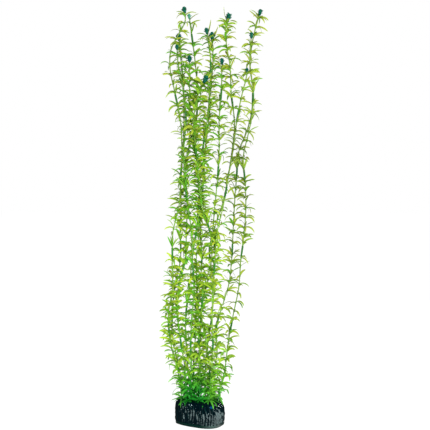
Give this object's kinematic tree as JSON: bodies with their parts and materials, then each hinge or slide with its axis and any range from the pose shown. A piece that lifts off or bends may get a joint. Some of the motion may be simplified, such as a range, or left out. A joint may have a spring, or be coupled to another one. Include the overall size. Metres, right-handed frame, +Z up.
{
  "type": "artificial lagarosiphon aquarium plant",
  "caption": "Tall artificial waterweed for an aquarium: leafy flexible stems with dark growing tips, plugged into a ribbed weighted base that stands on the tank floor.",
  "frame": {"origin": "middle of the base's flat underside", "axes": "+Z up the stems, +X along the base's long side to the right in the picture, -Y towards the front that the picture shows"},
  "size_m": [0.1491, 0.0579, 0.599],
  "materials": {
    "base_plastic": "glossy, nearly black with a teal tint, moulded in upright ribs",
    "stem_plastic": "satin, yellow-green leaves on olive stems with darker nodes and sleeves",
    "tip_plastic": "satin, dark teal"
  },
  "bodies": {
    "root": {"base": "base_plastic", "stem_01": "stem_plastic", "stem_02": "stem_plastic", "stem_03": "stem_plastic", "stem_04": "stem_plastic", "stem_05": "stem_plastic", "stem_06": "stem_plastic", "stem_07": "stem_plastic", "stem_08": "stem_plastic", "stem_09": "stem_plastic", "stem_10": "stem_plastic", "stem_11": "stem_plastic", "stem_12": "stem_plastic", "stem_13": "stem_plastic", "tip_01": "tip_plastic", "tip_02": "tip_plastic", "tip_03": "tip_plastic", "tip_04": "tip_plastic", "tip_05": "tip_plastic", "tip_06": "tip_plastic", "tip_07": "tip_plastic", "tip_08": "tip_plastic", "tip_09": "tip_plastic", "tip_10": "tip_plastic", "tip_11": "tip_plastic", "tip_12": "tip_plastic", "tip_13": "tip_plastic"}
  },
  "joints": []
}
